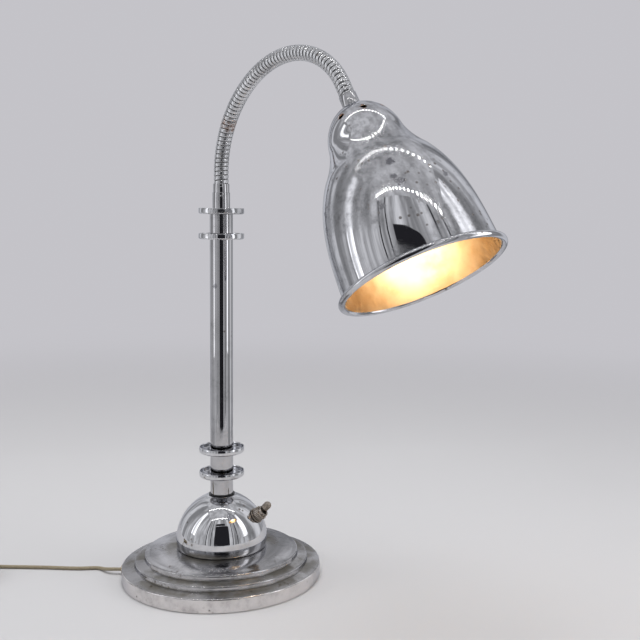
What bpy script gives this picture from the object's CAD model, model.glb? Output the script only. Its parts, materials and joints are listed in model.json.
import json
import math

import bmesh
import bpy
import numpy as np
from mathutils import Matrix, Vector


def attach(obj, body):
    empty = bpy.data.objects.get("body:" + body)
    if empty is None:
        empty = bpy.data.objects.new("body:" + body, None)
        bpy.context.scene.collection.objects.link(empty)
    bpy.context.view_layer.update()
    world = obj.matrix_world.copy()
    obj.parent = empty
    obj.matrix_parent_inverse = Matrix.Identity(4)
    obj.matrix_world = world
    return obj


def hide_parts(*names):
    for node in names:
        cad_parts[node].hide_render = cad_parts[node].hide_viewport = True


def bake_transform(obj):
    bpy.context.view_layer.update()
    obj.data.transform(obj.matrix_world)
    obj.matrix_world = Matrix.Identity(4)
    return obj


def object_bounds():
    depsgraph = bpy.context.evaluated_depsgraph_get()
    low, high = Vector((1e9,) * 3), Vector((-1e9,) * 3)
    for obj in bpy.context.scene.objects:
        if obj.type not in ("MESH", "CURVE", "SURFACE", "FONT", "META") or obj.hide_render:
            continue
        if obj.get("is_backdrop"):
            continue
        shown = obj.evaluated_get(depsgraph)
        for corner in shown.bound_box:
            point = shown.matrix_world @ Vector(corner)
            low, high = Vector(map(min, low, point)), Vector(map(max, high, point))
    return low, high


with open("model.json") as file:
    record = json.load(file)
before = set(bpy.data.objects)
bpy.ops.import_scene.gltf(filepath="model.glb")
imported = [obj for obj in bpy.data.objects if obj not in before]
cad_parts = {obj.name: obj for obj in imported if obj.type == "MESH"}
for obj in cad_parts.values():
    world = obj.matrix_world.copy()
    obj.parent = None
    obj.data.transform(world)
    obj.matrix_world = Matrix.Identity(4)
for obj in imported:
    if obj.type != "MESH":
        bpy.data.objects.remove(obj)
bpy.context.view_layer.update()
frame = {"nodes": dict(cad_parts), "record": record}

# Every length below is in millimetres and is turned into metres where a mesh is made.
MM = 0.001


# ---------------------------------------------------------------- camera

cam_data = bpy.data.cameras.new("camera")
cam_data.lens = 55.27
cam_data.sensor_width = 36
cam_data.shift_x = -0.0972
cam_data.shift_y = -0.038
cam_data.clip_start = 0.02
cam_data.clip_end = 30
camera = bpy.data.objects.new("camera", cam_data)
bpy.context.scene.collection.objects.link(camera)
camera.matrix_world = Matrix(
    (
        (0.75187, -0.07156, 0.65541, 0.6890),
        (0.65918, 0.06155, -0.74947, -0.5679),
        (0.01329, 0.99554, 0.09345, 0.3432),
        (0, 0, 0, 1),
    )
)
bpy.context.scene.camera = camera


# ---------------------------------------------------------------- curves and outlines


def direction(degrees):
    """Unit vector in the plane at an angle."""
    a = math.radians(degrees)
    return np.array([math.cos(a), math.sin(a)])


def arc(centre, r, start, end, n):
    """n + 1 points of a round stretch, angles in degrees."""
    angles = np.radians(np.linspace(start, end, n + 1))
    return [[centre[0] + r * math.cos(a), centre[1] + r * math.sin(a)] for a in angles]


def bezier(points, n):
    p = np.array(points, float)
    t = np.linspace(0, 1, n + 1)[:, None]
    s = 1 - t
    return (s**3 * p[0] + 3 * s * s * t * p[1] + 3 * s * t * t * p[2] + t**3 * p[3]).tolist()


def unit(v):
    v = np.array(v, float)
    return v / np.linalg.norm(v)


def beside(points, t):
    """The outline moved sideways by t, with mitred corners."""
    p = np.array(points, float)
    out = []
    for i in range(len(p)):
        before = unit(p[max(i, 1)] - p[max(i, 1) - 1])
        after = unit(p[min(i, len(p) - 2) + 1] - p[min(i, len(p) - 2)])
        middle = unit(before + after)
        left = np.array([-middle[1], middle[0]])
        out.append((p[i] + t * left / (middle @ after)).tolist())
    return out


def smooth_path(points, n):
    """A curve from the first point to the last that rounds each corner between them with n steps."""
    p = np.array(points, float)
    out = [p[0]]
    for i in range(1, len(p) - 1):
        a, b = (p[i - 1] + p[i]) / 2, (p[i] + p[i + 1]) / 2
        for j in range(n + 1):
            if j > 0 or i == 1:
                t = j / n
                out.append((1 - t) ** 2 * a + 2 * t * (1 - t) * p[i] + t * t * b)
    out.append(p[-1])
    return np.array(out)


# ---------------------------------------------------------------- places of the moving parts

LINKS = 12
PITCH = 19.52
NECK_FOOT_Z = 358.8


def bend(k):
    """Degrees that the neck turns at hinge k in the photographed pose."""
    return 12.1 + 8 * (k - 1) / 10 - 4.33 * math.sin(math.radians(18 * (k - 1)))


turns = [0.0]
for k in range(1, LINKS):
    turns.append(turns[-1] + bend(k))
headings = [np.array([math.sin(math.radians(a)), 0, math.cos(math.radians(a))]) for a in turns]
hinges = [np.array([0, 0, NECK_FOOT_Z])]
for k in range(LINKS):
    hinges.append(hinges[-1] + PITCH * headings[k])

AT_BASE = Matrix.Identity(4)
AT_SHADE = Matrix.Translation(Vector(hinges[-1])) @ Matrix.Rotation(math.radians(turns[-1]), 4, "Y")

# The dome's outline is a superellipse of this half width, height and power, round a point on the axis.
DOME_R, DOME_H, DOME_POWER, DOME_MID_Z, DOME_TOP_Z = 41.2, 42.3, 1.9, 36, 76
SWITCH_AZIMUTH, SWITCH_ELEVATION = 25, 34
switch_seat_r = 1 / (
    (math.cos(math.radians(SWITCH_ELEVATION)) / DOME_R) ** DOME_POWER
    + (math.sin(math.radians(SWITCH_ELEVATION)) / DOME_H) ** DOME_POWER
) ** (1 / DOME_POWER)
AT_SWITCH = (
    Matrix.Translation((0, 0, DOME_MID_Z))
    @ Matrix.Rotation(math.radians(SWITCH_AZIMUTH), 4, "Z")
    @ Matrix.Rotation(math.radians(90 - SWITCH_ELEVATION), 4, "Y")
    @ Matrix.Translation((0, 0, switch_seat_r))
)


# The shade's depth from its top to the mouth, and the hump on it: its half width and height, and how far its
# widest place lies from the mouth. The vent holes stand round the hump, square to its wall.
SHADE_DEPTH, SHADE_WALL = 158.5, 0.9
HUMP_R, HUMP_H, HUMP_UP = 31, 36.5, 112
VENTS, FIRST_VENT, VENT_R, VENT_TILT = 8, 34, 24.5, -48


def at_vent(i):
    return (
        AT_SHADE
        @ Matrix.Rotation(math.radians(FIRST_VENT + 360 / VENTS * i), 4, "Z")
        @ Matrix.Translation((VENT_R, 0, SHADE_DEPTH - HUMP_UP - HUMP_H * 0.6))
        @ Matrix.Rotation(math.radians(VENT_TILT), 4, "Y")
    )


# ---------------------------------------------------------------- mesh making


def piece(name, verts, faces, body, material, slot, replaces=(), at=AT_BASE, sharp=38):
    """A finished mesh piece from points in millimetres, riding on a body."""
    mesh = bpy.data.meshes.new(name)
    mesh.from_pydata([(at @ Vector(v)) * MM for v in verts], [], faces)
    mesh.validate()
    bm = bmesh.new()
    bm.from_mesh(mesh)
    bmesh.ops.recalc_face_normals(bm, faces=bm.faces)
    bm.to_mesh(mesh)
    bm.free()
    mesh.shade_smooth()
    mesh.set_sharp_from_angle(angle=math.radians(sharp))
    for m in [material] if isinstance(material, bpy.types.Material) else material:
        mesh.materials.append(m)
    obj = bpy.data.objects.new(name, mesh)
    bpy.context.scene.collection.objects.link(obj)
    if replaces:
        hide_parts(*replaces)
    if body:
        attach(obj, body)
    return obj


def turned(outline, segments=192, closed=True, shape=None):
    """Points and faces of an outline of [radius, height] turned about Z. shape gives the radius at an angle."""
    verts, faces, rings = [], [], []
    for r, z in outline:
        if r < 1e-6:
            rings.append([len(verts)])
            verts.append((0, 0, z))
        else:
            first = len(verts)
            rings.append(list(range(first, first + segments)))
            for i in range(segments):
                a = 2 * math.pi * i / segments
                s = shape(r, z, a) if shape else r
                verts.append((s * math.cos(a), s * math.sin(a), z))
    pairs = list(zip(rings, rings[1:]))
    if closed and len(rings[0]) > 1 and len(rings[-1]) > 1:
        pairs.append((rings[-1], rings[0]))
    for lower, upper in pairs:
        if len(lower) == 1 and len(upper) == 1:
            continue
        for i in range(segments):
            j = (i + 1) % segments
            if len(lower) == 1:
                faces.append((lower[0], upper[i], upper[j]))
            elif len(upper) == 1:
                faces.append((lower[i], lower[j], upper[0]))
            else:
                faces.append((lower[i], lower[j], upper[j], upper[i]))
    return verts, faces


def joined(*parts):
    verts, faces = [], []
    for v, f in parts:
        faces += [tuple(i + len(verts) for i in face) for face in f]
        verts += list(v)
    return verts, faces


def carried_sides(path):
    """Tangents and side directions along a path, carried without twisting."""
    p = np.array(path, float)
    tangents = np.gradient(p, axis=0)
    tangents /= np.linalg.norm(tangents, axis=1)[:, None]
    up = np.array([0, 0, 1.0]) if abs(tangents[0][2]) < 0.9 else np.array([0, 1.0, 0])
    side = unit(np.cross(up, tangents[0]))
    sides = []
    for t in tangents:
        side = unit(side - (side @ t) * t)
        sides.append(side)
    return tangents, np.array(sides)


def tube(path, radius, sides=16):
    """Points and faces of a closed tube along a path."""
    p = np.array(path, float)
    tangents, across = carried_sides(p)
    verts, faces = [], []
    for i in range(len(p)):
        v = np.cross(tangents[i], across[i])
        for k in range(sides):
            a = 2 * math.pi * k / sides
            verts.append(tuple(p[i] + radius * (math.cos(a) * across[i] + math.sin(a) * v)))
    for i in range(len(p) - 1):
        for k in range(sides):
            a, b = i * sides + k, i * sides + (k + 1) % sides
            faces.append((a, b, b + sides, a + sides))
    faces.append(tuple(range(sides - 1, -1, -1)))
    last = (len(p) - 1) * sides
    faces.append(tuple(range(last, last + sides)))
    return verts, faces


# ---------------------------------------------------------------- materials


class Look:
    """A material with a Principled shader, and short calls that add nodes to it."""

    def __init__(self, name, **values):
        self.material = bpy.data.materials.new(name)
        self.material.use_nodes = True
        self.tree = self.material.node_tree
        self.shader = self.tree.nodes["Principled BSDF"]
        for key, value in values.items():
            self.shader.inputs[key.replace("_", " ")].default_value = value
        self.place = self.tree.nodes.new("ShaderNodeTexCoord").outputs["Object"]

    def node(self, kind, inputs, **settings):
        node = self.tree.nodes.new(kind)
        for key, value in settings.items():
            setattr(node, key, value)
        for key, value in inputs.items():
            if isinstance(value, bpy.types.NodeSocket):
                self.tree.links.new(value, node.inputs[key])
            elif isinstance(value, tuple) and len(value) == 3 and kind == "ShaderNodeMix":
                node.inputs[key].default_value = (*value, 1)
            else:
                node.inputs[key].default_value = value
        return node

    def stretched(self, stretch):
        if stretch is None:
            return self.place
        return self.node("ShaderNodeMapping", {"Vector": self.place, "Scale": stretch}).outputs[0]

    def noise(self, scale, detail=3.0, roughness=0.55, stretch=None):
        inputs = {"Vector": self.stretched(stretch), "Scale": scale, "Detail": detail, "Roughness": roughness}
        return self.node("ShaderNodeTexNoise", inputs).outputs["Fac"]

    def cells(self, scale):
        inputs = {"Vector": self.place, "Scale": scale}
        return self.node("ShaderNodeTexVoronoi", inputs).outputs["Distance"]

    def between(self, value, low, high, out_low=0.0, out_high=1.0):
        """value from low to high becomes out_low to out_high, smoothly; low may be above high."""
        if low > high:
            low, high, out_low, out_high = high, low, out_high, out_low
        inputs = {"Value": value, "From Min": low, "From Max": high, "To Min": out_low, "To Max": out_high}
        return self.node("ShaderNodeMapRange", inputs, interpolation_type="SMOOTHSTEP").outputs[0]

    def maths(self, kind, a, b=0.0):
        return self.node("ShaderNodeMath", {0: a, 1: b}, operation=kind).outputs[0]

    def mix(self, fac, a, b):
        return self.node("ShaderNodeMix", {0: fac, 6: a, 7: b}, data_type="RGBA").outputs[2]

    def height(self):
        return self.node("ShaderNodeSeparateXYZ", {0: self.place}).outputs[2]

    def set(self, socket, value):
        self.tree.links.new(value, self.shader.inputs[socket])

    def bump(self, value, depth, strength=1.0):
        inputs = {"Height": value, "Distance": depth, "Strength": strength}
        self.set("Normal", self.node("ShaderNodeBump", inputs).outputs[0])


def chrome(name, base=(0.66, 0.66, 0.675), rough=0.02, haze=0.16, hazed=(0.44, 0.7), grime=(), stains=(), spots=0.55):
    """Aged chrome: hazed patches, fine wiping marks and dark pits, with grime at given heights and stains at given
    places. A place is x, y, z and a radius in metres, then a colour and how much of the chrome it hides."""
    n = Look(name, Metallic=1.0, Specular_Tint=(0.72, 0.73, 0.76, 1))
    clouds = n.between(n.noise(26, 6, 0.62), *hazed)
    mottle = n.between(n.noise(150, 5, 0.7), 0.35, 0.75)
    patches = n.between(n.noise(38), spots, spots + 0.1)
    pits = n.maths("MULTIPLY", n.between(n.cells(190), 0.3, 0.14), patches)
    marks = n.between(n.noise(90, 5, 0.7, (1, 1, 0.2)), 0.55, 0.85)
    dulled = n.maths("MULTIPLY", clouds, n.between(mottle, 0, 1, 0.4, 1.0))
    colour = n.mix(dulled, base, tuple(c * 0.5 for c in base))
    colour = n.mix(n.maths("MULTIPLY", pits, 0.75), colour, (0.16, 0.13, 0.11))
    level = n.maths("ADD", n.between(clouds, 0, 1, rough, rough + haze), n.maths("MULTIPLY", marks, 0.035))
    level = n.maths("ADD", level, n.maths("MULTIPLY", pits, 0.25))
    ragged = n.noise(330, 4, 0.7)
    if grime:
        z, dirt = n.height(), None
        for at, reach in grime:
            off = n.maths("ABSOLUTE", n.maths("SUBTRACT", z, at))
            band = n.between(off, reach, reach * 0.2)
            dirt = band if dirt is None else n.maths("MAXIMUM", dirt, band)
        dirt = n.maths("MULTIPLY", dirt, n.between(n.noise(30, 5, 0.6), 0.38, 0.62, 0.1, 0.75))
        colour = n.mix(dirt, colour, (0.17, 0.15, 0.11))
        level = n.maths("ADD", level, n.maths("MULTIPLY", dirt, 0.35))
    for x, y, z, radius, tint, cover in stains:
        away = n.node("ShaderNodeVectorMath", {0: n.place, 1: (x, y, z)}, operation="DISTANCE").outputs["Value"]
        away = n.maths("ADD", away, n.between(ragged, 0.3, 0.7, -0.35 * radius, 0.35 * radius))
        stain = n.maths("MULTIPLY", n.between(away, radius, radius * 0.6), cover)
        colour = n.mix(stain, colour, tint)
        level = n.maths("ADD", level, n.maths("MULTIPLY", stain, 0.3))
    n.set("Base Color", colour)
    n.set("Roughness", level)
    n.bump(n.noise(34, 2), 0.0003, 0.3)
    return n.material


def metal(name, base, dark, rough=0.35, grain=300):
    """Worn bare or oxidised metal."""
    n = Look(name, Metallic=1.0)
    worn = n.between(n.noise(grain, 4), 0.35, 0.68)
    n.set("Base Color", n.mix(worn, base, dark))
    n.set("Roughness", n.between(worn, 0, 1, rough * 0.7, rough * 1.3))
    n.bump(n.noise(grain * 4, 2), 0.00005, 0.4)
    return n.material


def dull(name, base, dark, rough=0.6, grain=250):
    """Plastic, fibre, ceramic or cast iron, mottled at a fine scale."""
    n = Look(name)
    mottle = n.between(n.noise(grain, 4), 0.35, 0.7)
    n.set("Base Color", n.mix(mottle, base, dark))
    n.set("Roughness", n.between(mottle, 0, 1, rough * 0.9, min(1.0, rough * 1.15)))
    n.bump(n.noise(grain * 5, 3), 0.0001, 0.4)
    return n.material


def felt():
    n = Look("felt", Roughness=0.95)
    fibres = n.noise(1500, 4, 0.7, (1, 1, 0.4))
    n.set("Base Color", n.mix(n.between(fibres, 0.35, 0.7), (0.03, 0.045, 0.03), (0.07, 0.08, 0.05)))
    n.bump(fibres, 0.0002, 0.8)
    return n.material


def shade_lining():
    """The bell's inside: duller nickel, browned by the bulb's heat."""
    n = Look("shade_lining", Metallic=1.0)
    burnt = n.between(n.noise(40, 5), 0.35, 0.7)
    n.set("Base Color", n.mix(burnt, (0.74, 0.6, 0.42), (0.56, 0.42, 0.26)))
    n.set("Roughness", n.between(n.noise(90, 4), 0.3, 0.7, 0.3, 0.42))
    n.bump(n.noise(300, 3), 0.0001, 0.3)
    return n.material


def bulb_glass():
    n = Look("bulb", Roughness=0.35)
    frost = n.between(n.noise(120, 3), 0.3, 0.7)
    n.set("Base Color", n.mix(frost, (0.95, 0.9, 0.8), (0.88, 0.82, 0.7)))
    n.set("Emission Color", n.mix(frost, (1.0, 0.84, 0.62), (1.0, 0.8, 0.56)))
    n.shader.inputs["Emission Strength"].default_value = 6.0
    return n.material


def glowing(name, colour, strength):
    n = Look(name, Roughness=0.5)
    n.set("Emission Color", n.mix(n.noise(400), colour, tuple(c * 0.8 for c in colour)))
    n.set("Base Color", n.mix(n.noise(500), (0.5, 0.4, 0.3), (0.3, 0.25, 0.2)))
    n.shader.inputs["Emission Strength"].default_value = strength
    return n.material


def cord_skin():
    """Old two-core flex in a dull khaki jacket, with a fine grain along it."""
    n = Look("cord", Roughness=0.5)
    grain = n.noise(700, 4, 0.6)
    tint = n.between(n.noise(25, 2), 0.35, 0.65)
    n.set("Base Color", n.mix(n.between(grain, 0.3, 0.7), (0.33, 0.28, 0.19), (0.24, 0.2, 0.13)))
    n.set("Roughness", n.between(tint, 0, 1, 0.4, 0.6))
    n.bump(grain, 0.00015, 0.5)
    return n.material


GRIME = ((0.0004, 0.0022), (0.0139, 0.002), (0.0197, 0.0018), (0.0283, 0.0012))
RUST, TARNISH = (0.3, 0.14, 0.07), (0.1, 0.1, 0.12)
vent_rust = [(*(at_vent(i).translation * MM), 0.0036, RUST, 0.8) for i in range(VENTS)]
BELL_STAINS = (
    *vent_rust, (0.2296, -0.0361, 0.374, 0.0042, TARNISH, 0.8), (0.2378, -0.0411, 0.3625, 0.0034, TARNISH, 0.7),
    (0.2425, -0.0401, 0.3597, 0.0042, TARNISH, 0.65), (0.2575, -0.006, 0.3662, 0.0035, TARNISH, 0.6),
    (0.2188, -0.0294, 0.3852, 0.0014, RUST, 0.7), (0.2373, -0.0529, 0.3421, 0.003, TARNISH, 0.5),
)
LOOKS = {
    "chrome_shell": chrome("chrome_shell", (0.7, 0.7, 0.715)),
    "chrome_tube": chrome(
        "chrome_tube", (0.56, 0.555, 0.565), haze=0.12, spots=0.62,
        stains=[(0.0023, -0.008, 0.2682, 0.003, TARNISH, 0.6)],
    ),
    "chrome_neck": chrome(
        "chrome_neck", (0.68, 0.68, 0.69), 0.26, 0.08, spots=0.6, stains=[(0.0105, 0.0, 0.4115, 0.0085, RUST, 0.6)]
    ),
    "dark_collar": metal("dark_collar", (0.05, 0.05, 0.055), (0.02, 0.02, 0.02), 0.35),
    "iron": dull("iron", (0.06, 0.055, 0.05), (0.1, 0.06, 0.04), 0.8),
    "felt": felt(),
    "steel": metal("steel", (0.42, 0.42, 0.42), (0.25, 0.24, 0.23), 0.35),
    "brass": metal("brass", (0.4, 0.28, 0.12), (0.2, 0.14, 0.07), 0.45),
    "fibre": dull("fibre", (0.42, 0.3, 0.18), (0.3, 0.2, 0.12), 0.7),
    "lead": dull("lead", (0.36, 0.3, 0.2), (0.26, 0.21, 0.14), 0.55),
    "block": dull("block", (0.62, 0.58, 0.5), (0.5, 0.46, 0.38), 0.5),
    "grommet": dull("grommet", (0.45, 0.36, 0.24), (0.34, 0.26, 0.17), 0.55),
    "switch_case": dull("switch_case", (0.08, 0.045, 0.03), (0.04, 0.025, 0.02), 0.35),
    "switch_metal": metal("switch_metal", (0.5, 0.45, 0.4), (0.3, 0.25, 0.2), 0.38, 220),
    "ceramic": dull("ceramic", (0.72, 0.69, 0.62), (0.6, 0.56, 0.48), 0.3),
    "bulb": bulb_glass(),
    "cap_metal": metal("cap_metal", (0.6, 0.56, 0.48), (0.4, 0.34, 0.26), 0.3),
    "filament": glowing("filament", (1.0, 0.7, 0.35), 20.0),
    "cord": cord_skin(),
    "tie": dull("tie", (0.03, 0.03, 0.03), (0.015, 0.015, 0.015), 0.7, 700),
    "plug": dull("plug", (0.1, 0.055, 0.035), (0.06, 0.035, 0.025), 0.35, 120),
    "pins": metal("pins", (0.6, 0.5, 0.3), (0.42, 0.34, 0.22), 0.25),
}
LINING = shade_lining()
SOOT = dull("shade_soot", (0.03, 0.025, 0.02), (0.015, 0.012, 0.01), 0.9)
BELL = chrome("chrome_bell", (0.68, 0.68, 0.7), haze=0.13, hazed=(0.38, 0.62), stains=BELL_STAINS, spots=0.52)
BASE = chrome("chrome_base", (0.54, 0.53, 0.535), 0.09, 0.12, (0.4, 0.66), GRIME, spots=0.58)
PLINTH = chrome("chrome_plinth", (0.8, 0.77, 0.76), 0.12, 0.12, (0.4, 0.66), spots=0.6)
GROOVE = metal("neck_groove", (0.1, 0.09, 0.08), (0.05, 0.04, 0.035), 0.5)


# ---------------------------------------------------------------- cord, coil, tail and plug

CORD_R = 1.6
EXIT_AZIMUTH = -136
exit_point = np.array([*(direction(EXIT_AZIMUTH) * 92.05), 5.0])
route = [
    [-72, -69, 4.9], [-77, -71, 4.2], [-82.5, -71, 2.8], [-88, -70.5, 1.9], [-93, -72.5, 1.7],
    [-97, -77, 1.7], [-101, -82, 1.7], [-107, -87.5, 1.7], [-115, -94, 1.7], [-125, -101.5, 1.7],
    [-137, -111.5, 1.7], [-149, -122, 1.7], [-160, -131.5, 1.7],
]
COIL_LOOPS, COIL_LAYERS, COIL_MEAN_R, COIL_PITCH, COIL_FOOT_Z = 13, 4, 19.2, 3.7, 2.5
layer_turns = COIL_LOOPS / COIL_LAYERS
coil_out_r = COIL_MEAN_R + COIL_PITCH * layer_turns / 2
coil_start = np.array([-180.0, -149.0])
heading = unit([-20, -17.5])
coil_centre = coil_start + coil_out_r * np.array([-heading[1], heading[0]])
coil_start_angle = math.atan2(*(coil_start - coil_centre)[::-1])


def coil_point(t):
    """A point of the coil after t turns: each layer winds in or out, then climbs to the next."""
    layer = min(COIL_LAYERS - 1, math.floor(t / layer_turns))
    part = t - layer * layer_turns
    r = coil_out_r - COIL_PITCH * (part if layer % 2 == 0 else layer_turns - part)
    climbed = sum(min(1, max(0, (t - n * layer_turns + 0.25) / 0.5)) for n in range(1, COIL_LAYERS))
    a = coil_start_angle + 2 * math.pi * t
    return [
        coil_centre[0] + r * math.cos(a), coil_centre[1] + r * math.sin(a),
        COIL_FOOT_Z + COIL_PITCH * climbed,
    ]


along = np.array([*heading, 0.0])
coil = [coil_point(i / 24) for i in range(COIL_LOOPS * 24 + 1)]
coil_in = np.array([*coil_start, COIL_FOOT_Z]) - along * 3.2
plug_start = np.array(coil[-1]) + along * 3.2 * 1.02
flat_start = np.array([plug_start[0], plug_start[1], 0])
tail = smooth_path(
    [
        plug_start, plug_start + along * 8, flat_start + along * 19 + [0, 0, 11.2],
        flat_start + along * 29 + [0, 0, 7.6], flat_start + along * 36 + [0, 0, 6.5],
        flat_start + along * 42 + [0, 0, 6.5],
    ],
    5,
)
free = smooth_path([exit_point, *route, coil_in - along * 6.4, coil_in - along * 0.064], 5)
cord_line = np.vstack([free, [coil_in], coil, tail])

curve = bpy.data.curves.new("power_flex", "CURVE")
curve.dimensions = "3D"
curve.bevel_depth = CORD_R * MM
curve.bevel_resolution = 4
curve.use_fill_caps = True
spline = curve.splines.new("POLY")
spline.points.add(len(cord_line) - 1)
for point, p in zip(spline.points, cord_line):
    point.co = (*(p * MM), 1)
spline.use_smooth = True
curve.materials.append(LOOKS["cord"])
power_flex = bpy.data.objects.new("power_flex", curve)
bpy.context.scene.collection.objects.link(power_flex)
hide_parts("power_cord", "cord_coil", "cord_tail")
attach(power_flex, "base")

AT_PLUG = (
    Matrix.Translation((plug_start[0], plug_start[1], 0))
    @ Matrix.Rotation(math.atan2(heading[1], heading[0]), 4, "Z")
    @ Matrix.Translation((42.05, 0, 6.5))
)


def plug_mould():
    """A moulded plug: a tapered sleeve that widens into a rounded body with finger ridges."""
    stations = [(0, 3, 3), (2, 3.2, 3.1), (5, 3.9, 3.6), (8, 4.8, 4.3), (11, 7.6, 5.3), (14, 11.2, 6.1)]
    stations += [(18, 14.6, 6.3)]
    stations += [(x, 16.2 - 0.45 * (1 + math.cos(math.pi * (x - 18) / 1.5)), 6.3) for x in np.arange(19, 29, 0.5)]
    stations += [(30, 16.9, 6.3), (33, 17, 6.3), (33.8, 16.6, 5.9), (34, 15.9, 5.3)]
    around, verts, faces = 56, [(0, 0, 0)], []
    for x, half_w, half_h in stations:
        power = 1.0 if x < 8 else 0.55
        for i in range(around):
            a = 2 * math.pi * i / around
            c, s = math.cos(a), math.sin(a)
            y = half_w * math.copysign(abs(c) ** power, c)
            z = half_h * math.copysign(abs(s) ** power, s)
            verts.append((x, y, z))
    for k in range(len(stations) - 1):
        for i in range(around):
            a, b = 1 + k * around + i, 1 + k * around + (i + 1) % around
            faces.append((a, b, b + around, a + around))
    last = 1 + (len(stations) - 1) * around
    verts.append((34, 0, 0))
    for i in range(around):
        faces.append((0, 1 + (i + 1) % around, 1 + i))
        faces.append((len(verts) - 1, last + i, last + (i + 1) % around))
    return verts, faces


plug = piece("plug_mould", *plug_mould(), "base", LOOKS["plug"], "plug", ["plug_body"], AT_PLUG, 50)
pin_parts = []
for y in (-9.5, 9.5):
    v, f = turned([[0, 0], [2, 0], [2, 17], *arc([0, 17], 2, 6, 84, 8), [0, 19]], 32)
    pin_parts.append(([(34.05 + z, y + yy, x) for x, yy, z in v], f))
pins = piece("plug_pin_pair", *joined(*pin_parts), "base", LOOKS["pins"], "pins", ["plug_pins"], AT_PLUG)


def tie_strap():
    """A flat strap once round the coil's bundle, with its end lapped over."""
    half_w = COIL_PITCH * layer_turns / 2 + CORD_R + 0.3
    height = COIL_PITCH * (COIL_LAYERS - 1) + 2 * CORD_R + 0.6
    x0, x1, z0, z1 = -half_w, half_w, 0.6, 0.6 + height
    line, c = [], 1.5
    corners = ((x1 - c, z0 + c), (x1 - c, z1 - c), (x0 + c, z1 - c), (x0 + c, z0 + c))
    for corner, start in zip(corners, (-90, 0, 90, 180)):
        line += arc(corner, c, start, start + 90, 6)
    verts, faces, n = [], [], len(line)
    normal = []
    for i in range(n):
        d = unit(np.array(line[(i + 1) % n]) - np.array(line[i - 1]))
        normal.append((d[1], -d[0]))
    for i, (x, z) in enumerate(line):
        for off, y in ((0, -2.5), (0.45, -2.5), (0.58, -2.2), (0.58, 2.2), (0.45, 2.5), (0, 2.5)):
            verts.append((x + normal[i][0] * off, y, z + normal[i][1] * off))
    for i in range(n):
        for k in range(6):
            a, b = i * 6 + k, i * 6 + (k + 1) % 6
            c2, d2 = ((i + 1) % n) * 6 + (k + 1) % 6, ((i + 1) % n) * 6 + k
            faces.append((a, b, c2, d2))
    return verts, faces


AT_TIE = (
    Matrix.Translation((coil_centre[0], coil_centre[1], 0))
    @ Matrix.Rotation(coil_start_angle + math.pi, 4, "Z")
    @ Matrix.Translation((COIL_MEAN_R, 0, 0))
)
tie = piece("coil_strap", *tie_strap(), "base", LOOKS["tie"], "tie", ["coil_tie"], AT_TIE, 50)


# ---------------------------------------------------------------- base, dome and column

ROD_HOLE_R = 5.1
base_line = [
    [90, 0.5], *arc([88.5, 11.2], 1.5, 0, 80, 10), [79.1, 14.2], [78.6, 14.35], [78.5, 14.6],
    *arc([76.7, 17.2], 1.5, 0, 80, 10), [70.2, 19.9], [69.7, 20.05], [69.6, 20.3],
    *arc([67.8, 23.1], 1.5, 0, 80, 10),
    *bezier([[65.6, 24.85], [57.6, 27.1], [49.2, 27.9], [41.2, 28]], 24), [ROD_HOLE_R, 28],
]
base_wall = [[ROD_HOLE_R, 27], *beside(base_line[:-1], 1)[::-1]]
BASE_SIDES, PLINTH_ROWS = 256, 8
skin = turned(base_line + base_wall, BASE_SIDES)
base = piece("base_skin", *skin, "base", [BASE, PLINTH], "chrome_shell", ["base_shell"])
for polygon in base.data.polygons:
    if polygon.index // BASE_SIDES < PLINTH_ROWS:
        polygon.material_index = 1


def dome_arc(inset, steps=60):
    """The dome's outline moved in by inset, up to where its flat top begins."""
    out, top = [], DOME_TOP_Z - inset
    for i in range(steps + 1):
        a = math.radians(68 * i / steps)
        across, up = math.cos(a) ** (2 / DOME_POWER), math.sin(a) ** (2 / DOME_POWER)
        p = [(DOME_R - inset) * across, DOME_MID_Z + (DOME_H - inset) * up]
        if p[1] < top - 0.3:
            out.append(p)
    return out


dome_line = [[39.5, 28.1], [40.2, 28.5], [40.6, 29.3], [40.95, 31.5], *dome_arc(0)]
dome_line += [[13.2, DOME_TOP_Z - 0.1], [12.3, DOME_TOP_Z], [ROD_HOLE_R, DOME_TOP_Z]]
dome_line += [[ROD_HOLE_R, DOME_TOP_Z - 1], [11.7, DOME_TOP_Z - 1]]
dome_line += dome_arc(1)[::-1] + [[39.6, 29.7], [38.5, 28.1]]
piece("dome_skin", *turned(dome_line, 256), "base", LOOKS["chrome_shell"], "chrome_shell", ["dome"])
collar_line = [[ROD_HOLE_R, 76], [11.5, 76], [11.7, 76.2], [11.7, 77], [11.5, 77.2], [ROD_HOLE_R, 77.2]]
piece("collar_ring", *turned(collar_line, 96), "base", LOOKS["dark_collar"], "dark_collar", ["dome_collar"])

CUPS = [93.2, 115.4, 309.5, 331.9]
CUP_WALL = 0.9
TUBE_R, TUBE_BORE_R, TUBE_CHAMFER = 10.25, 9.45, 0.2
SLEEVES = [
    ("sleeve_lower", 77.2, CUPS[0]), ("sleeve_middle", CUPS[0] + CUP_WALL, CUPS[1]),
    ("column_tube", CUPS[1] + CUP_WALL, CUPS[2]), ("sleeve_upper", CUPS[2] + CUP_WALL, CUPS[3]),
]
for name, low, high in SLEEVES:
    line = [[TUBE_BORE_R, low], [TUBE_R - TUBE_CHAMFER, low], [TUBE_R, low + TUBE_CHAMFER]]
    line += [[TUBE_R, z] for z in np.linspace(low + 3, high - 3, 5)]
    line += [[TUBE_R, high - TUBE_CHAMFER], [TUBE_R - TUBE_CHAMFER, high], [TUBE_BORE_R, high]]
    piece(name + "_skin", *turned(line, 128), "base", LOOKS["chrome_tube"], "chrome_tube", [name])
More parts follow.
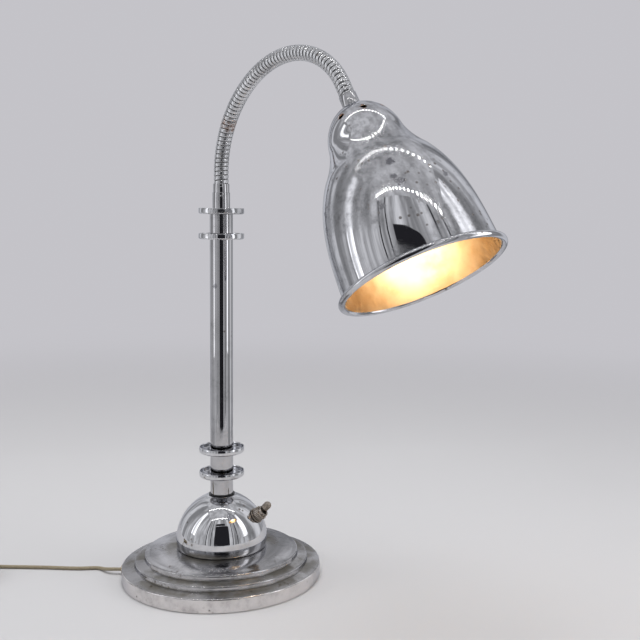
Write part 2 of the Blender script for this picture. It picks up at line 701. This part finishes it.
for i, z in enumerate(CUPS):
    line = [[ROD_HOLE_R, 0], [12, 0], *arc([18.65, 1.6], 1.6, -90, 0, 8), [20.25, 3], [20.25, 4.95], [20.1, 5.2]]
    line += [[19.5, 5.2], [19.35, 4.95], [19.35, 3], *arc([18.65, 1.6], 0.7, 0, -90, 8)]
    line += [[12, CUP_WALL], [ROD_HOLE_R, CUP_WALL]]
    at = Matrix.Translation((0, 0, z))
    name = f"cup_ring_{i + 1}"
    piece(name + "_skin", *turned(line, 160), "base", LOOKS["chrome_shell"], "chrome_shell", [name], at)

foot = CUPS[3] + CUP_WALL
ferrule_line = [
    [ROD_HOLE_R, foot], [7.6, foot], [7.8, foot + 0.2], [7.8, 350.7], [7.65, 351.05], [7.25, 351.2],
    [7.25, NECK_FOOT_Z - 0.5], [7.0, NECK_FOOT_Z], [5.5, NECK_FOOT_Z], [5.5, 352.7],
    [ROD_HOLE_R, 352.7],
]
piece("ferrule_skin", *turned(ferrule_line, 96), "base", LOOKS["chrome_tube"], "chrome_tube", ["ferrule"])

AT_EXIT = (
    Matrix.Rotation(math.radians(EXIT_AZIMUTH), 4, "Z")
    @ Matrix.Translation((0, 0, 5))
    @ Matrix.Rotation(math.radians(90), 4, "Y")
)
grommet_line = [
    [1.65, 87.5], [3.2, 87.5], [3.2, 88.3], [2.9, 88.5], [2.9, 90.1], [3.85, 90.25],
    *arc([2.9, 90.9], 1.0, 0, 80, 6), [2.2, 92.0], [1.65, 91.6],
]
piece("grommet_ring", *turned(grommet_line, 48), "base", LOOKS["grommet"], "grommet", ["cord_grommet"], AT_EXIT)


# ---------------------------------------------------------------- switch

def switch_part(part, outline, sides, shape=None):
    """A turned part of the switch's collar."""
    skin = turned(outline, sides, True, shape)
    piece(part + "_skin", *skin, "base", LOOKS["switch_metal"], "switch_metal", [part], AT_SWITCH)


washer_line = [[4.65, 0.05], [7, 0.05], [7, 0.85], [6.8, 1.05], [4.65, 1.05]]
switch_part("switch_washer", washer_line, 96)


def knurl(r, z, a):
    """The nut's radius at an angle, with 24 grooves."""
    if r < 5.4:
        return r
    groove = max(0.0, math.cos(24 * a)) ** 1.5
    return r - 0.5 * groove


nut_line = [[4.65, 1.1], [5.6, 1.1], [6.25, 1.6], [6.25, 2.6], [6.25, 5.6], [6.25, 6.6], [5.5, 7.1], [4.65, 7.1]]
switch_part("switch_nut", nut_line, 240, knurl)
ring_line = [[4.65, 7.15], [4.85, 7.15], [5, 7.3], [5, 9.5], [4.8, 9.75], [4.65, 9.75]]
switch_part("switch_ring", ring_line, 96)
bushing_line = [[0, -2], [4.6, -2], [4.6, 9.4], [4.4, 9.6], [3.8, 9.6], [3.6, 9.4], [3.6, 0.7], [0, 0.7]]
switch_part("switch_bushing", bushing_line, 96)
AT_LEVER = AT_SWITCH @ Matrix.Translation((0, 0, 3)) @ Matrix.Rotation(math.radians(-12), 4, "Y")
lever_line = [
    [0, -2.3], *arc([0, 0], 2.3, -80, 45, 10), [1.5, 2.2], [1.5, 8.1], [2.5, 8.1], [3.1, 8.3], [3.45, 8.8],
    [3.5, 9.4], [3.5, 11.3], [3.1, 11.6], [3.1, 11.9], [3.5, 12.2], *arc([0, 12.6], 3.5, 4, 84, 14), [0, 16.1],
]
lever = turned(lever_line, 64)
piece("switch_lever_skin", *lever, "lever", LOOKS["switch_metal"], "switch_metal", ["switch_lever"], AT_LEVER, 50)


# ---------------------------------------------------------------- gooseneck

RIBS = 5  # on each link
NECK_R, NECK_BORE_R, LEAD_R = 6.5, 3.3, 1.6
NECK_SIDES, RINGS_PER_RIB = 36, 16
DARK_FROM = 0.86  # how far off a ridge the groove's dark look begins
Y = np.array([0, 1.0, 0])


def neck_line(k, t):
    """Point and direction of the neck's centreline: k is the hinge, t from 0 at mid-link to 1 at the next one."""
    a = hinges[k] - headings[k - 1] * PITCH / 2 if k > 0 else None
    b = hinges[k] + headings[min(k, LINKS - 1)] * PITCH / 2
    if k == 0:
        return hinges[0] + headings[0] * PITCH / 2 * t, headings[0]
    if k == LINKS:
        return a + (hinges[k] - a) * t, headings[-1]
    p = (1 - t) ** 2 * a + 2 * t * (1 - t) * hinges[k] + t * t * b
    d = 2 * (1 - t) * (hinges[k] - a) + 2 * t * (b - hinges[k])
    return p, unit(d)


def ribs_of(k, half):
    """Ribs on piece k, ribs before it, and rings of points on it."""
    ribs = RIBS / 2 if half else RIBS
    return ribs, 0 if k == 0 else RIBS * (k - 0.5), int(ribs * RINGS_PER_RIB)


def off_ridge(x):
    """0 on a ridge and 1 in the middle of a groove, at x ribs."""
    return abs(x % 1.0 - 0.5) * 2


def groove(x):
    """Depth of the wound wire's groove at x ribs: broad rounded ridges with narrow gaps."""
    off = off_ridge(x)
    return 0.16 * off * off + 0.7 * max(0.0, (off - 0.74) / 0.26) ** 1.2


def neck_piece(k, half=False):
    """A ribbed tube with its bore, from mid-link to mid-link round hinge k."""
    (ribs, first_rib, rings), sides = ribs_of(k, half), NECK_SIDES
    verts, faces = [], []
    for ribbed in (True, False):
        for i in range(rings + 1):
            p, d = neck_line(k, i / rings)
            n = np.cross(Y, d)
            for j in range(sides):
                a = 2 * math.pi * j / sides
                r = NECK_R - groove(first_rib + ribs * i / rings - j / sides) if ribbed else NECK_BORE_R
                verts.append(tuple(p + r * (math.cos(a) * n + math.sin(a) * Y)))
    inner = (rings + 1) * sides
    for i in range(rings):
        for j in range(sides):
            a, b = i * sides + j, i * sides + (j + 1) % sides
            faces.append((a, b, b + sides, a + sides))
    for i in range(rings):
        for j in range(sides):
            a, b = i * sides + j, i * sides + (j + 1) % sides
            faces.append((inner + a, inner + a + sides, inner + b + sides, inner + b))
    for i in (0, rings):
        for j in range(sides):
            a, b = i * sides + j, i * sides + (j + 1) % sides
            faces.append((a, inner + a, inner + b, b) if i == 0 else (a, b, inner + b, inner + a))
    return verts, faces


def darken_grooves(obj, k, half=False):
    """Give the bottom of each groove its own dark look."""
    (ribs, first_rib, rings), sides = ribs_of(k, half), NECK_SIDES
    obj.data.materials.append(GROOVE)
    for index in range(rings * sides):
        i, j = index // sides + 0.5, index % sides + 0.5
        if off_ridge(first_rib + ribs * i / rings - j / sides) > DARK_FROM:
            obj.data.polygons[index].material_index = 1


def lead_piece(k, half=False):
    """The flexible lead inside the neck, from mid-link to mid-link round hinge k."""
    line = [neck_line(k, t)[0] for t in np.linspace(0, 1, 7 if half else 13)]
    if k == 0:
        line = [np.array([0, 0, 348.8]), *line]
    if k == LINKS:
        line = [*line, hinges[-1] + headings[-1] * 25.7]
    return tube(line, LEAD_R, 16)


def bending(name, shape, k, slot, nodes):
    """A piece that bends at hinge k."""
    obj = piece(name, *shape, None, LOOKS[slot], slot, nodes, AT_BASE, 60)
    if k == LINKS - 1:
        # the same bend, told from the shade's side, where its turn is found without rounding trouble
        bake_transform(obj)
    else:
        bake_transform(obj)
    return obj


def half_wire(k, body, node):
    """The half link of neck at an end, which no hinge bends."""
    look = LOOKS["chrome_neck"]
    wire = piece(f"neck_wire_{k:02d}", *neck_piece(k, True), body, look, "chrome_neck", [node], AT_BASE, 60)
    darken_grooves(wire, k, True)


half_wire(0, "base", "gooseneck_link_01")
piece("neck_lead_00", *lead_piece(0, True), "base", LOOKS["lead"], "lead", ["gooseneck_lead"])
for k in range(1, LINKS):
    nodes = [f"gooseneck_link_{k:02d}", f"gooseneck_link_{k + 1:02d}"]
    darken_grooves(bending(f"neck_wire_{k:02d}", neck_piece(k), k, "chrome_neck", nodes), k)
    bending(f"neck_lead_{k:02d}", lead_piece(k), k, "lead", ["gooseneck_lead"])
half_wire(LINKS, "shade", "gooseneck_link_12")
piece("neck_lead_12", *lead_piece(LINKS, True), "shade", LOOKS["lead"], "lead", ["gooseneck_lead"])
end_line = [[5.5, 0], [6.9, 0], [7.2, 0.4], [7.2, 11.2], [7.0, 11.7], [5.0, 11.7], [5.0, 7], [5.5, 7]]
end_skin = turned(end_line, 96)
piece("end_ferrule_skin", *end_skin, "shade", LOOKS["chrome_tube"], "chrome_tube", ["end_ferrule"], AT_SHADE)


# ---------------------------------------------------------------- shade, holder and bulb

bell = [
    *bezier([[63.1, 0], [61.5, 25], [62.5, 62], [43.4, 92]], 56),
    *bezier([[43.4, 92], [37.5, 99.5], [32.8, 108.5], [30.95, 116]], 20)[1:],
    *[[HUMP_R * math.cos(a), HUMP_UP + HUMP_H * math.sin(a)] for a in np.radians(np.arange(10, 72, 2))],
    [9.5, 146.74],
]
outer = [[r, SHADE_DEPTH - up] for r, up in bell]
inner = beside(outer, -SHADE_WALL)
outer += [[8, 11.76], [4.95, 11.76]]
inner = [[4.95, 12.66], [8, 12.66]] + inner[::-1]
BELL_SIDES = 224
SOOT_REACH = 52  # from the top, inside
verts, faces = turned(outer + inner, BELL_SIDES)
shade = piece("shade_bell", verts, faces, None, [BELL, LINING, SOOT], "chrome_shell", ["shade"], AT_SHADE, 45)
for i, polygon in enumerate(shade.data.polygons):
    row = i // BELL_SIDES
    polygon.material_index = 0 if row < len(outer) else 2 if (outer + inner)[row][1] < SOOT_REACH else 1

VENT_HOLE_R = 2.5
v, f = turned([[0, -8], [VENT_HOLE_R, -8], [VENT_HOLE_R, 8], [0, 8]], 40)
cutters = [([tuple(at_vent(i) @ Vector(p)) for p in v], f) for i in range(VENTS)]
drill = piece("drill", *joined(*cutters), None, LOOKS["steel"], "steel")
cut = shade.modifiers.new("vents", "BOOLEAN")
cut.operation = "DIFFERENCE"
cut.object = drill
cut.solver = "EXACT"
bpy.context.view_layer.update()
cut_mesh = bpy.data.meshes.new_from_object(shade.evaluated_get(bpy.context.evaluated_depsgraph_get()))
shade.modifiers.clear()
shade.data = cut_mesh
bpy.data.objects.remove(drill)
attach(shade, "shade")

bead = [[p[0], p[1]] for p in arc([65, 157.9], 2.6, 0, 337.5, 15)]
piece("shade_bead", *turned(bead, BELL_SIDES), "shade", BELL, "chrome_shell", ["shade"], AT_SHADE)

BULB_R, BULB_UP, GLASS_INSIDE = 30, 110.5, 0.974
glass = [
    [12.5, 61.7], *bezier([[12.5, 62.7], [14, 75.7], [18.6, 81.1], [26.4, 96.25]], 20),
    *arc([0, BULB_UP], BULB_R, -24, 86, 30), [0, BULB_UP + BULB_R],
]
glass_inner = [[r * GLASS_INSIDE, z if z < 100 else BULB_UP + (z - BULB_UP) * GLASS_INSIDE] for r, z in glass]
glass_line = glass + glass_inner[::-1]
piece("bulb_envelope", *turned(glass_line, 96), "shade", LOOKS["bulb"], "bulb", ["bulb_glass"], AT_SHADE)


# ---------------------------------------------------------------- finishes of the carried-over nodes

for part in frame["record"]["subparts"]:
    node = frame["nodes"][part["node"]]
    if not node.material_slots:
        node.data.materials.append(LOOKS[part["material_slot"]])
    for s in node.material_slots:
        s.material = LOOKS[part["material_slot"]]


# ---------------------------------------------------------------- floor, light tent and lamps

TOWARDS_CAMERA = np.array([0.772, -0.636, 0])
SIDEWAYS = np.array([0.636, 0.772, 0])
UP = np.array([0, 0, 1.0])


def emitter(name, colour, strength):
    m = bpy.data.materials.new(name)
    m.use_nodes = True
    tree = m.node_tree
    tree.nodes.clear()
    light = tree.nodes.new("ShaderNodeEmission")
    light.inputs["Color"].default_value = (*colour, 1)
    light.inputs["Strength"].default_value = strength
    tree.links.new(light.outputs[0], tree.nodes.new("ShaderNodeOutputMaterial").inputs[0])
    return m


def backdrop(name, verts, faces, material, seen=True):
    mesh = bpy.data.meshes.new(name)
    mesh.from_pydata([tuple(np.array(v) * MM) for v in verts], [], faces)
    mesh.materials.append(material)
    mesh.shade_smooth()
    obj = bpy.data.objects.new(name, mesh)
    bpy.context.scene.collection.objects.link(obj)
    obj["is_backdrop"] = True
    if not seen:
        obj.visible_camera = obj.visible_diffuse = obj.visible_shadow = obj.visible_transmission = False
    return obj


def panel(name, centre, across, up, half_w, half_h, material):
    """A flat panel that only reflections show."""
    c, a, u = np.array(centre, float), np.array(across) * half_w, np.array(up) * half_h
    return backdrop(name, [c - a - u, c + a - u, c + a + u, c - a + u], [(0, 1, 2, 3)], material, False)


def floor_paper():
    """Plain pale paper that turns up behind the object, where the camera sees it evenly lit."""
    n = Look("floor_paper", Roughness=0.9, Base_Color=(0.565, 0.56, 0.57, 1))
    path = n.tree.nodes.new("ShaderNodeLightPath")
    seen = n.maths("MAXIMUM", path.outputs["Is Camera Ray"], path.outputs["Is Glossy Ray"])
    seen = n.maths("MAXIMUM", seen, path.outputs["Is Transmission Ray"])
    away = n.node("ShaderNodeVectorMath", {0: n.place}, operation="LENGTH").outputs["Value"]
    glow = n.node("ShaderNodeEmission", {"Color": (0.553, 0.547, 0.58, 1), "Strength": 1.0})
    far = n.maths("MULTIPLY", n.between(away, 0.35, 1.7), seen)
    both = n.node("ShaderNodeMixShader", {0: far, 1: n.shader.outputs[0], 2: glow.outputs[0]})
    n.tree.links.new(both.outputs[0], n.tree.nodes["Material Output"].inputs[0])
    return n.material


sweep = [[0.001, 0], [300, 0], [700, 0], [1100, 0], *arc([1500, 900], 900, -90, 0, 24), [2400, 2600]]
backdrop("floor_sweep", *turned(sweep, 96, False), floor_paper())


def tent_cloth(name, low, high, stretch):
    """Lit cloth with folds, which only reflections show."""
    n = Look(name)
    folds = n.between(n.noise(7, 4, 0.6, stretch), 0.36, 0.66, low, high)
    glow = n.node("ShaderNodeEmission", {"Color": (0.93, 0.94, 0.98, 1), "Strength": folds})
    n.tree.links.new(glow.outputs[0], n.tree.nodes["Material Output"].inputs[0])
    return n.material


# How far the tent reaches from the object's axis towards the camera, behind it and to each side, and its height.
TENT_FRONT, TENT_BACK, TENT_SIDE, TENT_TOP = 560, -470, 470, 900
wall = tent_cloth("tent_wall", 0.3, 0.9, (1, 1, 0.15))
top = tent_cloth("tent_top", 0.45, 0.75, (1, 1, 1))
streaks = tent_cloth("tent_streaks", 0.8, 2.2, (2.5, 2.5, 0.2))
black = emitter("tent_black", (0.02, 0.02, 0.024), 1.0)
middle = (TENT_FRONT + TENT_BACK) / 2
half_depth = (TENT_FRONT - TENT_BACK) / 2
panel("tent_ceiling", TOWARDS_CAMERA * middle + UP * TENT_TOP, SIDEWAYS, TOWARDS_CAMERA, TENT_SIDE, half_depth, top)
panel("tent_back", TOWARDS_CAMERA * TENT_BACK + UP * TENT_TOP / 2, SIDEWAYS, UP, TENT_SIDE, TENT_TOP / 2, wall)
panel("tent_front", TOWARDS_CAMERA * TENT_FRONT + UP * TENT_TOP / 2, SIDEWAYS, UP, TENT_SIDE, TENT_TOP / 2, wall)
for side, forward, half in ((-1, 95, 55), (1, 260, 80)):
    name = "left" if side < 0 else "right"
    centre = SIDEWAYS * side * TENT_SIDE + TOWARDS_CAMERA * middle + UP * TENT_TOP / 2
    panel("tent_wall_" + name, centre, TOWARDS_CAMERA, UP, half_depth, TENT_TOP / 2, wall)
    centre = SIDEWAYS * side * (TENT_SIDE - 6) + TOWARDS_CAMERA * forward + UP * 480
    panel("tent_streak_" + name, centre, TOWARDS_CAMERA, UP, half, 350, streaks)
    for place, half in ((SIDEWAYS * side * (TENT_SIDE - 12) + TOWARDS_CAMERA * (TENT_FRONT - 12), 20),
                        (SIDEWAYS * side * 290 + TOWARDS_CAMERA * (TENT_FRONT - 8), 11)):
        panel(f"tent_seam_{name}_{half}", place + UP * 450, SIDEWAYS, UP, half, 450, black)
panel("tent_mouth", TOWARDS_CAMERA * (TENT_FRONT - 10) + UP * 275, SIDEWAYS, UP, 190, 265, black)
panel("tent_gap", TOWARDS_CAMERA * (TENT_FRONT - 10) - SIDEWAYS * 45 + UP * 600, SIDEWAYS, UP, 145, 45, black)


def lamp_row(name, start, end, count):
    """A row of small square lamps under the tent's ceiling, seen only in reflections."""
    verts, faces = [], []
    for i in range(count):
        c = np.array(start) + (np.array(end) - np.array(start)) * i / (count - 1)
        for a, b in ((-1, -1), (1, -1), (1, 1), (-1, 1)):
            verts.append(c + SIDEWAYS * a * 4.5 + TOWARDS_CAMERA * b * 8)
        faces.append(tuple(range(4 * i, 4 * i + 4)))
    backdrop(name, verts, faces, emitter(name, (1, 0.99, 0.97), 24.0), False)


def ceiling_point(sideways, forward):
    return SIDEWAYS * sideways + TOWARDS_CAMERA * forward + UP * (TENT_TOP - 8)


lamp_row("lamps_back", ceiling_point(-420, 30), ceiling_point(440, 110), 19)
lamp_row("lamps_front", ceiling_point(-420, 490), ceiling_point(440, 500), 19)


def area_light(name, place, aim, size, power):
    data = bpy.data.lights.new(name, "AREA")
    data.shape = "SQUARE"
    data.size = size
    data.energy = power
    obj = bpy.data.objects.new(name, data)
    bpy.context.scene.collection.objects.link(obj)
    obj.location = place
    obj.rotation_euler = (Vector(aim) - Vector(place)).to_track_quat("-Z", "Y").to_euler()
    obj.visible_glossy = False


area_light("key", (0.1, -0.15, 1.9), (0.05, 0, 0), 1.3, 22)
area_light("fill", (-1.2, -1.2, 1.0), (0.1, 0, 0.2), 1.0, 8)
area_light("side", (1.3, 0.6, 1.0), (0.1, 0, 0.2), 1.0, 8)

world = bpy.data.worlds.new("studio")
world.use_nodes = True
world.node_tree.nodes["Background"].inputs["Color"].default_value = (0.93, 0.94, 0.96, 1)
world.node_tree.nodes["Background"].inputs["Strength"].default_value = 0.55
bpy.context.scene.world = world
bpy.context.scene.view_settings.view_transform = "Standard"

low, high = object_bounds()
